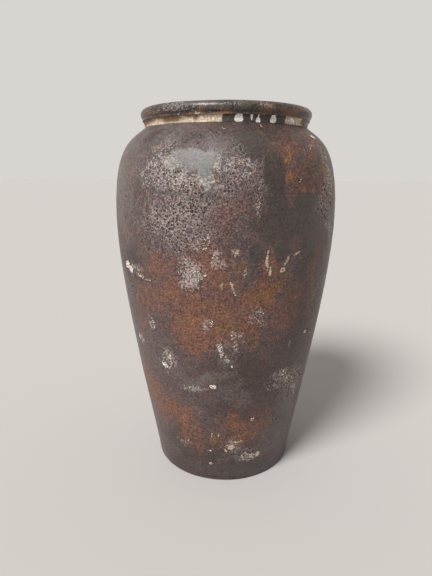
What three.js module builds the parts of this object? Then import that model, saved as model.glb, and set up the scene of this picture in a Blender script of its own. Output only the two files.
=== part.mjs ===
// A storage jar of dark fired clay, built by hand. A round slab makes the base. Courses of clay are
// raised on it one above the other, each set inside the bevelled edge of the one below, and two
// shoulder courses close the jar in. A short collar and a thick rolled lip finish the mouth.
//
// Millimetres, +Z up. The origin is the middle of the foot, on the surface that the jar stands on.

import * as THREE from "three";

// Outside sizes
const HEIGHT = 350; // table to the top of the lip
const FOOT_RADIUS = 70;
const BELLY_RADIUS = 105.5; // the widest part
const BELLY_HEIGHT = 253;
const NECK_RADIUS = 76; // in the groove under the lip
const LIP_OVERHANG = 3.7; // how far the lip stands out past the groove
const LIP_HEIGHT = 11;
const NECK_HEIGHT = 5.5; // from the groove to the underside of the lip

// Clay
const WALL = 7.5;
const BASE_THICKNESS = 11;
const NECK_ROOT = 3.5; // how far below the groove the inside of the shoulder meets the collar
const FOOT_HOLLOW_DEPTH = 1.5; // the slab is scraped hollow, so that it stands on a ring
const FOOT_RING_WIDTH = 15;
const FOOT_CHAMFER = 1.5;

// Joints between the pieces
const FLANK_COURSES = ["foot_course", "lower_course", "middle_course", "belly_course"];
const SHOULDER_COURSES = ["shoulder_course", "upper_shoulder_course"];
const ABOVE_BELLY = 10; // the belly course ends this far above the widest part
const WALL_BEVEL = 6; // the outer edge of a joint is this much higher than its inner edge
const BASE_BEVEL = 4; // the slab's edge falls away by this much under the first course
const COLLAR_BEVEL = 2;
const SLIP_GAP = 0.35; // room for the luting slip in every joint, measured upright

// The curve of the wall, as shares of the height and width that each stretch covers
const FLANK_START = new THREE.Vector2(0.07, 0.108);
const FLANK_END = 0.294;
const SHOULDER_START = 0.808;
const SHOULDER_END = new THREE.Vector2(0.435, 0.129);
const NECK_HOLLOW = 0.7; // share of the neck's height that stays upright before it flares

// Fineness
const SEGMENTS = 48;
const COURSE_STEPS = 5;
const NECK_STEPS = 3;
const LIP_STEPS = 10; // with the angle below, a step falls on the widest point and on the top
const LIP_UNDERSIDE_ANGLE = -45; // degrees below level at which the lip's roll leaves the neck

const NECK_BASE = HEIGHT - LIP_HEIGHT - NECK_HEIGHT;
const LIP_BASE = HEIGHT - LIP_HEIGHT;
const MOUTH_RADIUS = NECK_RADIUS - WALL;
const LIP_RADIUS = NECK_RADIUS + LIP_OVERHANG;
const SHOULDER_BASE = BELLY_HEIGHT + ABOVE_BELLY;

const point = (radius, height) => new THREE.Vector2(radius, height);

// One face of the wall, outside or inside: the flank leans out from the foot and turns upright at
// the belly, and the shoulder rolls over from the belly to the neck.
function wallFace(footRadius, bellyRadius, neckRadius, neckHeight) {
  const spread = bellyRadius - footRadius;
  const closing = bellyRadius - neckRadius;
  const rise = neckHeight - BELLY_HEIGHT;
  const flank = new THREE.CubicBezierCurve(
    point(footRadius, 0),
    point(footRadius + FLANK_START.x * spread, FLANK_START.y * BELLY_HEIGHT),
    point(bellyRadius, BELLY_HEIGHT * (1 - FLANK_END)),
    point(bellyRadius, BELLY_HEIGHT),
  );
  const shoulder = new THREE.CubicBezierCurve(
    point(bellyRadius, BELLY_HEIGHT),
    point(bellyRadius, BELLY_HEIGHT + SHOULDER_START * rise),
    point(neckRadius + SHOULDER_END.x * closing, neckHeight - SHOULDER_END.y * rise),
    point(neckRadius, neckHeight),
  );
  return { flank, shoulder };
}

const OUTSIDE = wallFace(FOOT_RADIUS, BELLY_RADIUS, NECK_RADIUS, NECK_BASE);
const INSIDE = wallFace(FOOT_RADIUS - WALL, BELLY_RADIUS - WALL, MOUTH_RADIUS, NECK_BASE - NECK_ROOT);

// The point of a wall face at one height, found by halving, because both stretches only rise.
function pointAt(face, height) {
  const curve = height < BELLY_HEIGHT ? face.flank : face.shoulder;
  let low = 0;
  let high = 1;
  for (let i = 0; i < 40; i++) {
    const middle = (low + high) / 2;
    if (curve.getPoint(middle).y < height) low = middle;
    else high = middle;
  }
  return point(curve.getPoint(low).x, height);
}

// Points along a wall face from one height to another, with both ends.
function stretch(face, from, to, steps) {
  const points = [];
  for (let i = 0; i <= steps; i++) points.push(pointAt(face, from + ((to - from) * i) / steps));
  return points;
}

const CLAY = { roughness: 0.55, metalness: 0 };
const darkGlaze = new THREE.MeshStandardMaterial({ ...CLAY, color: 0x5b4d48 });
const buffClay = new THREE.MeshStandardMaterial({ ...CLAY, color: 0xc9ae84, roughness: 0.85 });
const slabClay = new THREE.MeshStandardMaterial({ ...CLAY, color: 0x6b5347, roughness: 0.9 });

const jar = new THREE.Group();

// Turns an outline round the jar's axis. The outline runs up the outside and down the inside.
function addTurned(name, outline, material) {
  const mesh = new THREE.Mesh(new THREE.LatheGeometry(outline, SEGMENTS), material);
  mesh.name = name;
  mesh.rotation.x = Math.PI / 2; // a lathe turns about Y, and the jar stands along Z
  jar.add(mesh);
}

function addRing(name, outline, material) {
  addTurned(name, [...outline, outline[0].clone()], material);
}

// Base slab: flat on a ring, scraped hollow inside it, with a bevelled top edge for the first course.
const slabEdge = pointAt(OUTSIDE, BASE_THICKNESS - BASE_BEVEL);
const hollowRadius = FOOT_RADIUS - FOOT_RING_WIDTH;
addTurned(
  "base_disc",
  [
    point(0, FOOT_HOLLOW_DEPTH),
    point(hollowRadius, FOOT_HOLLOW_DEPTH),
    point(hollowRadius + FOOT_HOLLOW_DEPTH, 0),
    point(FOOT_RADIUS - FOOT_CHAMFER, 0),
    pointAt(OUTSIDE, FOOT_CHAMFER),
    slabEdge,
    pointAt(INSIDE, BASE_THICKNESS),
    point(0, BASE_THICKNESS),
  ],
  slabClay,
);

// The wall's joints, from the slab's edge up to the collar, each by its height on the outside and on
// the inside. They slope down inwards, so that a course sits inside the edge of the one below. The
// first course sits over the edge of the slab instead.
const wallJoint = (height) => ({ outside: height + WALL_BEVEL / 2, inside: height - WALL_BEVEL / 2 });
const flankRise = (SHOULDER_BASE - BASE_THICKNESS) / FLANK_COURSES.length;
const shoulderRise = (NECK_BASE - SHOULDER_BASE) / SHOULDER_COURSES.length;
const wallJoints = [
  { outside: slabEdge.y, inside: BASE_THICKNESS },
  ...FLANK_COURSES.map((_, i) => wallJoint(BASE_THICKNESS + (i + 1) * flankRise)),
  ...SHOULDER_COURSES.slice(1).map((_, i) => wallJoint(SHOULDER_BASE + (i + 1) * shoulderRise)),
  { outside: NECK_BASE, inside: NECK_BASE - NECK_ROOT },
];

// Wall courses: equal in height along the flank, and again along the shoulder.
[...FLANK_COURSES, ...SHOULDER_COURSES].forEach((name, i) => {
  const base = wallJoints[i];
  const top = wallJoints[i + 1];
  addRing(
    name,
    [
      ...stretch(OUTSIDE, base.outside + SLIP_GAP, top.outside, COURSE_STEPS),
      ...stretch(INSIDE, top.inside, base.inside + SLIP_GAP, COURSE_STEPS),
    ],
    darkGlaze,
  );
});

// The lip's roll in section: an ellipse as thick as the lip, whose middle is half its height up.
const lipHalfWidth = (LIP_RADIUS - MOUTH_RADIUS) / 2;
const roll = new THREE.EllipseCurve(
  LIP_RADIUS - lipHalfWidth,
  HEIGHT - LIP_HEIGHT / 2,
  lipHalfWidth,
  LIP_HEIGHT / 2,
  THREE.MathUtils.degToRad(LIP_UNDERSIDE_ANGLE),
  Math.PI,
);
const rollStart = roll.getPoint(0);

// Neck collar: upright in the groove, then flaring out to meet the underside of the lip.
const neckOutside = new THREE.QuadraticBezierCurve(
  point(NECK_RADIUS, NECK_BASE + SLIP_GAP),
  point(NECK_RADIUS, NECK_BASE + NECK_HOLLOW * NECK_HEIGHT),
  point(rollStart.x, LIP_BASE),
);
addRing(
  "neck_collar",
  [
    ...neckOutside.getPoints(NECK_STEPS),
    point(MOUTH_RADIUS, LIP_BASE - COLLAR_BEVEL),
    point(MOUTH_RADIUS, NECK_BASE - NECK_ROOT + SLIP_GAP),
  ],
  buffClay,
);

// Rolled lip, seated on the collar.
addRing(
  "rolled_lip",
  [
    point(rollStart.x, LIP_BASE + SLIP_GAP),
    ...roll.getPoints(LIP_STEPS),
    point(MOUTH_RADIUS, LIP_BASE - COLLAR_BEVEL + SLIP_GAP),
  ],
  darkGlaze,
);

export default jar;
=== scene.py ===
# A storage jar of dark iron-glazed stoneware, weathered to rust, built up by hand from slab and courses.
import math

import bpy
import numpy as np
from mathutils import Matrix, Vector


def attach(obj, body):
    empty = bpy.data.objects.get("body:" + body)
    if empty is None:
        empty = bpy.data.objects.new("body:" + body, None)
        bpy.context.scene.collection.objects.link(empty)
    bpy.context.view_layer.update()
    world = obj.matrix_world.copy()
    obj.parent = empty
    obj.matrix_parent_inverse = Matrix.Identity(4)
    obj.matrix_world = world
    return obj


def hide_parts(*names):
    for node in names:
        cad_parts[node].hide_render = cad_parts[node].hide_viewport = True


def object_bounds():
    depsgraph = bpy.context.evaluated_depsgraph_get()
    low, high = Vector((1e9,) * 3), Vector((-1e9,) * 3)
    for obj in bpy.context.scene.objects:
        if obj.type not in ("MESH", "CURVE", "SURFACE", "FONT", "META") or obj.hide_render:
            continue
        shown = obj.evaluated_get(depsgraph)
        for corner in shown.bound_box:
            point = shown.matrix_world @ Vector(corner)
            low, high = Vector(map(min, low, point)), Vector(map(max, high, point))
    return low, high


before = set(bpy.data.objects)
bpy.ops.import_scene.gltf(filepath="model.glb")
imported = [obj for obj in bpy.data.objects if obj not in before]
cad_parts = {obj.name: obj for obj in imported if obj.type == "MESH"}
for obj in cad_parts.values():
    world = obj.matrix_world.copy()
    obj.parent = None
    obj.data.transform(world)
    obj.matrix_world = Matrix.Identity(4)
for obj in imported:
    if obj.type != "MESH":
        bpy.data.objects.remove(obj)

cad_low, cad_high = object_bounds()
MM = 0.001

# ------------------------------------------------------------------------------------------------------
# The studio: a wide pale floor under an even pale sky that is dimmer behind the camera, and one big
# soft lamp, high on the left in front of the jar.

CAMERA_PLACE = (0, -0.456, 0.2977)
CAMERA_PITCH = 14.72  # degrees below level
CAMERA_YAW = 1.10  # degrees to the left
CAMERA_ROLL = 0.26
CAMERA_LENS = 28.44  # for a 36 mm sensor that stands upright

FLOOR_SIZE = 24.0
FLOOR_PAPER = "#b8b4b1"
FLOOR_ROUGHNESS = 0.8
LAMP_PLACE = (-0.80, -1.10, 1.68)
LAMP_AIM = (0, 0, 0.2)
LAMP_WIDTH = 22  # degrees across, seen from the jar
LAMP_STRENGTH = 4.05
SKY_BEHIND = "#d8d4d0"
SKY_BEFORE = "#66615d"
SKY_ABOVE = "#b8b4b0"
SKY_SIDES = (-0.7, 0.5)  # how far back the sky's two sides blend, and how high its top begins
SKY_TOP = (0.45, 0.95)


def linear(code, alpha=1.0):
    """An sRGB hex colour as linear red, green, blue and alpha."""
    parts = [int(code[i : i + 2], 16) / 255 for i in (1, 3, 5)]
    return [c / 12.92 if c <= 0.04045 else ((c + 0.055) / 1.055) ** 2.4 for c in parts] + [alpha]


def add(tree, kind, sockets=None, **settings):
    """Adds a node. Settings are its properties; each socket takes a value or another node's output."""
    node = tree.nodes.new(kind)
    for name, value in settings.items():
        setattr(node, name, value)
    for key, value in (sockets or {}).items():
        if isinstance(value, bpy.types.NodeSocket):
            tree.links.new(value, node.inputs[key])
        else:
            node.inputs[key].default_value = value
    return node


def calc(tree, operation, *values, clamp=False):
    """The output of a Math node: numbers or sockets put through one operation."""
    sockets = dict(enumerate(values))
    return add(tree, "ShaderNodeMath", sockets, operation=operation, use_clamp=clamp).outputs[0]


def vector_calc(tree, operation, *values):
    """The output of a Vector Math node. When it scales, the last value is the scale."""
    sockets = dict(enumerate(values))
    if operation == "SCALE":
        sockets = {0: values[0], "Scale": values[1]}
    return add(tree, "ShaderNodeVectorMath", sockets, operation=operation).outputs[0]


def mix(tree, share, first, second, **settings):
    """The output of a Mix node for colours."""
    sockets = {0: share, 6: first, 7: second}
    return add(tree, "ShaderNodeMix", sockets, data_type="RGBA", **settings).outputs[2]


def blend(tree, share, first, second):
    """The output of a Mix node for numbers."""
    return add(tree, "ShaderNodeMix", {0: share, 2: first, 3: second}, data_type="FLOAT").outputs[0]


def remap(tree, value, low, high, to_low=0.0, to_high=1.0, **settings):
    """The output of a Map Range node."""
    sockets = {0: value, "From Min": low, "From Max": high, "To Min": to_low, "To Max": to_high}
    return add(tree, "ShaderNodeMapRange", sockets, **settings).outputs[0]


def ease(tree, value, low, high, to_high=1.0):
    """Goes smoothly from 0 where the value is low to to_high where it is high."""
    return remap(tree, value, low, high, to_high=to_high, interpolation_type="SMOOTHSTEP")


def texture_noise(tree, place, scale, detail, output=0, **sockets):
    """An output of a Noise Texture node."""
    sockets = {"Vector": place, "Scale": scale, "Detail": detail} | sockets
    return add(tree, "ShaderNodeTexNoise", sockets).outputs[output]


def named(tree, name, kind="FLOAT"):
    """A named attribute in a geometry tree."""
    return add(tree, "GeometryNodeInputNamedAttribute", {"Name": name}, data_type=kind).outputs["Attribute"]


def painted_mark(tree, name):
    """A painted mark in a material."""
    return add(tree, "ShaderNodeAttribute", attribute_name=name).outputs["Fac"]


def geometry_tree(name, inputs):
    """A new geometry tree, with inputs that each have a name, a type and a value to start from. Gives
    the tree, the sockets that its inputs feed, and the inputs' identifiers."""
    tree = bpy.data.node_groups.new(name, "GeometryNodeTree")
    ids = {}
    for label, kind, value in inputs:
        socket = tree.interface.new_socket(label, in_out="INPUT", socket_type="NodeSocket" + kind)
        if value is not None:
            socket.default_value = value
        ids[label] = socket.identifier
    tree.interface.new_socket("Geometry", in_out="OUTPUT", socket_type="NodeSocketGeometry")
    return tree, add(tree, "NodeGroupInput").outputs, ids


scene = bpy.context.scene
scene.view_settings.view_transform = "Standard"


def new_object(name, data):
    """A new object, linked into the scene."""
    obj = bpy.data.objects.new(name, data)
    scene.collection.objects.link(obj)
    return obj


camera_data = bpy.data.cameras.new("camera")
camera_data.lens = CAMERA_LENS
camera_data.sensor_width = 36
camera = new_object("camera", camera_data)
camera.matrix_world = (
    Matrix.Translation(CAMERA_PLACE)
    @ Matrix.Rotation(math.radians(CAMERA_YAW), 4, "Z")
    @ Matrix.Rotation(math.radians(90 - CAMERA_PITCH), 4, "X")
    @ Matrix.Rotation(math.radians(CAMERA_ROLL), 4, "Z")
)
scene.camera = camera

lamp_data = bpy.data.lights.new("key_lamp", "SUN")
lamp_data.angle = math.radians(LAMP_WIDTH)
lamp_data.energy = LAMP_STRENGTH
lamp = new_object("key_lamp", lamp_data)
lamp.location = LAMP_PLACE
lamp.rotation_euler = (Vector(LAMP_AIM) - Vector(LAMP_PLACE)).to_track_quat("-Z", "Y").to_euler()

world = bpy.data.worlds.new("pale_sky")
world.use_nodes = True
sky = world.node_tree
sky.nodes.clear()
way = add(sky, "ShaderNodeSeparateXYZ", {0: add(sky, "ShaderNodeTexCoord").outputs["Generated"]})
behind = remap(sky, way.outputs["Y"], *SKY_SIDES)
above = remap(sky, way.outputs["Z"], *SKY_TOP)
sky_round = mix(sky, behind, linear(SKY_BEFORE), linear(SKY_BEHIND))
sky_all = mix(sky, above, sky_round, linear(SKY_ABOVE))
background = add(sky, "ShaderNodeBackground", {"Color": sky_all, "Strength": 1.0})
add(sky, "ShaderNodeOutputWorld", {"Surface": background.outputs[0]})
scene.world = world

floor_paper = bpy.data.materials.new("pale_floor_paper")
floor_paper.use_nodes = True
paper_skin = floor_paper.node_tree.nodes["Principled BSDF"]
paper_skin.inputs["Base Color"].default_value = linear(FLOOR_PAPER)
paper_skin.inputs["Roughness"].default_value = FLOOR_ROUGHNESS
floor_mesh = bpy.data.meshes.new("floor")
half = FLOOR_SIZE / 2
floor_corners = [(-half, -half, 0), (half, -half, 0), (half, half, 0), (-half, half, 0)]
floor_mesh.from_pydata(floor_corners, [], [(0, 1, 2, 3)])
floor_mesh.materials.append(floor_paper)
floor = new_object("floor", floor_mesh)


# ------------------------------------------------------------------------------------------------------
# The wall: six courses of clay, luted one on another and scraped together so that their joints hardly
# show. Each is a ring of stoneware, turned from its part of the wall's outline: a flank that leans out
# from a narrow foot, and a round shoulder. Iron glaze covers the outside, and only slip the inside.

FOOT_RADIUS = 70.0  # sizes are in millimetres here, and the meshes in metres
BELLY_HEIGHT = 253.0
NECK_RADIUS = 76.0
LIP_HEIGHT = 11.0
NECK_HEIGHT = 5.5
CLAY_WALL = 7.5
SLAB_THICKNESS = 11.0
NECK_ROOT = 3.5  # how far the collar stands down inside the shoulder
SLAB_BEVEL = 4.0
COURSE_BEVEL = 6.0
ABOVE_BELLY = 10.0

JAR_HEIGHT = cad_high.z / MM
BELLY_RADIUS = cad_high.x / MM
NECK_BASE = JAR_HEIGHT - LIP_HEIGHT - NECK_HEIGHT
LIP_BASE = JAR_HEIGHT - LIP_HEIGHT
MOUTH_RADIUS = NECK_RADIUS - CLAY_WALL
FLANK_LEAN, FLANK_LEAN_HEIGHT = 0.07, 0.108  # the guide points of the two curves, as shares of their
FLANK_FULLNESS = 0.706  # spread and rise
SHOULDER_FULLNESS = 0.808
NECK_LEAN, NECK_LEAN_DROP = 0.435, 0.129
SHOULDER_BASE = BELLY_HEIGHT + ABOVE_BELLY

FLANK = ("foot_course", "lower_course", "middle_course", "belly_course")
SHOULDER = ("shoulder_course", "upper_shoulder_course")
COLUMNS = 800  # round the jar: 0.8 mm apart at the belly
OUTER_STEP = 0.8  # how far apart the outline's points are, outside and inside
INNER_STEP = 3.0
SAME_POINT = 0.02  # points that are nearer than this are one
WELD = 0.01


def bezier(points, steps=600):
    """A cubic curve drawn by four (radius, height) points, as an array."""
    a, b, c, d = (np.array(p, float) for p in points)
    t = np.linspace(0, 1, steps)[:, None]
    return (1 - t) ** 3 * a + 3 * (1 - t) ** 2 * t * b + 3 * (1 - t) * t * t * c + t**3 * d


def wall_face(foot, belly, neck, neck_height):
    """One face of the wall from foot to neck, drawn as the flank's curve and the shoulder's."""
    spread, closing, rise = belly - foot, belly - neck, neck_height - BELLY_HEIGHT
    flank = bezier(
        [
            (foot, 0),
            (foot + FLANK_LEAN * spread, FLANK_LEAN_HEIGHT * BELLY_HEIGHT),
            (belly, FLANK_FULLNESS * BELLY_HEIGHT),
            (belly, BELLY_HEIGHT),
        ]
    )
    shoulder = bezier(
        [
            (belly, BELLY_HEIGHT),
            (belly, BELLY_HEIGHT + SHOULDER_FULLNESS * rise),
            (neck + NECK_LEAN * closing, neck_height - NECK_LEAN_DROP * rise),
            (neck, neck_height),
        ]
    )
    return np.vstack([flank, shoulder[1:]])


OUTSIDE = wall_face(FOOT_RADIUS, BELLY_RADIUS, NECK_RADIUS, NECK_BASE)
INSIDE = wall_face(FOOT_RADIUS - CLAY_WALL, BELLY_RADIUS - CLAY_WALL, MOUTH_RADIUS, NECK_BASE - NECK_ROOT)


def between(face, low, high):
    """The part of a wall face from one height to another."""
    inner = face[(face[:, 1] > low + 1e-6) & (face[:, 1] < high - 1e-6)]
    ends = [[np.interp(h, face[:, 1], face[:, 0]), h] for h in (low, high)]
    return np.vstack([ends[:1], inner, ends[1:]])


def trace(line, step, side, inside=0.0):
    """Points every step along a line, each a row of radius, height, outward direction and inside mark.
    side is 1 where the clay lies on the left of the way along the line, and -1 on the right."""
    line = np.array(line, float)
    along = np.concatenate([[0], np.cumsum(np.hypot(*np.diff(line, axis=0).T))])
    count = max(2, int(round(along[-1] / step)) + 1)
    at = np.linspace(0, along[-1], count)
    place = np.column_stack([np.interp(at, along, line[:, k]) for k in (0, 1)])
    reach = 0.25  # how far ahead and astern the line's way is taken from
    ahead = np.column_stack([np.interp(at + reach, along, line[:, k]) for k in (0, 1)])
    astern = np.column_stack([np.interp(at - reach, along, line[:, k]) for k in (0, 1)])
    way = ahead - astern
    way /= np.hypot(*way.T)[:, None]
    out = side * np.column_stack([way[:, 1], -way[:, 0]])
    return np.column_stack([place, out, np.full(count, inside)])


def turning_tree():
    """Turns an outline, held as a row of points, round the jar's axis, and stitches the ring shut."""
    inputs = (("Outline", "Geometry", None), ("Columns", "Int", COLUMNS))
    tree, given, ids = geometry_tree("turned_outline", inputs)
    outline, columns = given["Outline"], given["Columns"]
    rows = add(tree, "GeometryNodeAttributeDomainSize", {0: outline}).outputs["Point Count"]
    wide = calc(tree, "ADD", columns, 1.0)
    tall = calc(tree, "SUBTRACT", rows, 1.0)
    sizes = {"Size X": columns, "Size Y": tall, "Vertices X": wide, "Vertices Y": rows}
    grid = add(tree, "GeometryNodeMeshGrid", sizes).outputs["Mesh"]
    position = add(tree, "GeometryNodeInputPosition").outputs[0]
    place = add(tree, "ShaderNodeSeparateXYZ", {0: position})
    column = calc(tree, "MULTIPLY_ADD", columns, 0.5, place.outputs[0])
    turn = calc(tree, "MULTIPLY", column, math.tau)
    turn = calc(tree, "DIVIDE", turn, columns)
    row = calc(tree, "MULTIPLY_ADD", tall, 0.5, place.outputs[1])
    row = calc(tree, "ROUND", row)
    body = grid
    for name, kind in (("out", "FLOAT_VECTOR"), ("inside", "FLOAT"), ("place", "FLOAT_VECTOR")):
        value = position
        if name != "place":
            value = named(tree, name, kind)
        sample = {"Geometry": outline, "Value": value, "Index": row}
        value = add(tree, "GeometryNodeSampleIndex", sample, data_type=kind).outputs[0]
        if kind == "FLOAT_VECTOR":
            spin = {"Vector": value, "Angle": turn}
            value = add(tree, "ShaderNodeVectorRotate", spin, rotation_type="Z_AXIS").outputs[0]
        if name == "place":
            body = add(tree, "GeometryNodeSetPosition", {"Geometry": body, "Position": value}).outputs[0]
        else:
            store = {"Geometry": body, "Name": name, "Value": value}
            body = add(
                tree, "GeometryNodeStoreNamedAttribute", store, data_type=kind, domain="POINT"
            ).outputs[0]
    closed = add(tree, "GeometryNodeMergeByDistance", {"Geometry": body, "Distance": WELD * MM}).outputs[0]
    add(tree, "NodeGroupOutput", {0: closed})
    return tree, ids


TURNING, TURNING_INPUTS = turning_tree()


def with_modifier(mesh, name, tree, inputs):
    """A new plain mesh: this one put through a geometry tree, whose inputs are set before it runs."""
    obj = new_object(name, mesh)
    modifier = obj.modifiers.new(name, "NODES")
    modifier.node_group = tree
    for identifier, value in inputs.items():
        modifier[identifier] = value
    depsgraph = bpy.context.evaluated_depsgraph_get()
    depsgraph.update()
    made = bpy.data.meshes.new_from_object(obj.evaluated_get(depsgraph), depsgraph=depsgraph)
    made.name = name
    bpy.data.objects.remove(obj)
    bpy.data.meshes.remove(mesh)
    return made


def turned_mesh(name, outline):
    """The body that an outline sweeps. The outline is a list of rows as trace gives them."""
    rows = np.vstack(outline)
    keep = np.ones(len(rows), bool)
    keep[1:] = np.hypot(*(rows[1:, :2] - rows[:-1, :2]).T) > SAME_POINT
    rows = rows[keep]
    flat = np.zeros(len(rows))
    mesh = bpy.data.meshes.new(name + "_outline")
    points = np.column_stack([rows[:, 0], flat, rows[:, 1]]) * MM
    mesh.from_pydata(points.tolist(), [(i, i + 1) for i in range(len(rows) - 1)], [])
    out = mesh.attributes.new("out", "FLOAT_VECTOR", "POINT")
    out.data.foreach_set("vector", np.column_stack([rows[:, 2], flat, rows[:, 3]]).ravel())
    inside = mesh.attributes.new("inside", "FLOAT", "POINT")
    inside.data.foreach_set("value", rows[:, 4])
    return with_modifier(mesh, name + "_turned", TURNING, {TURNING_INPUTS["Columns"]: COLUMNS})


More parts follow.
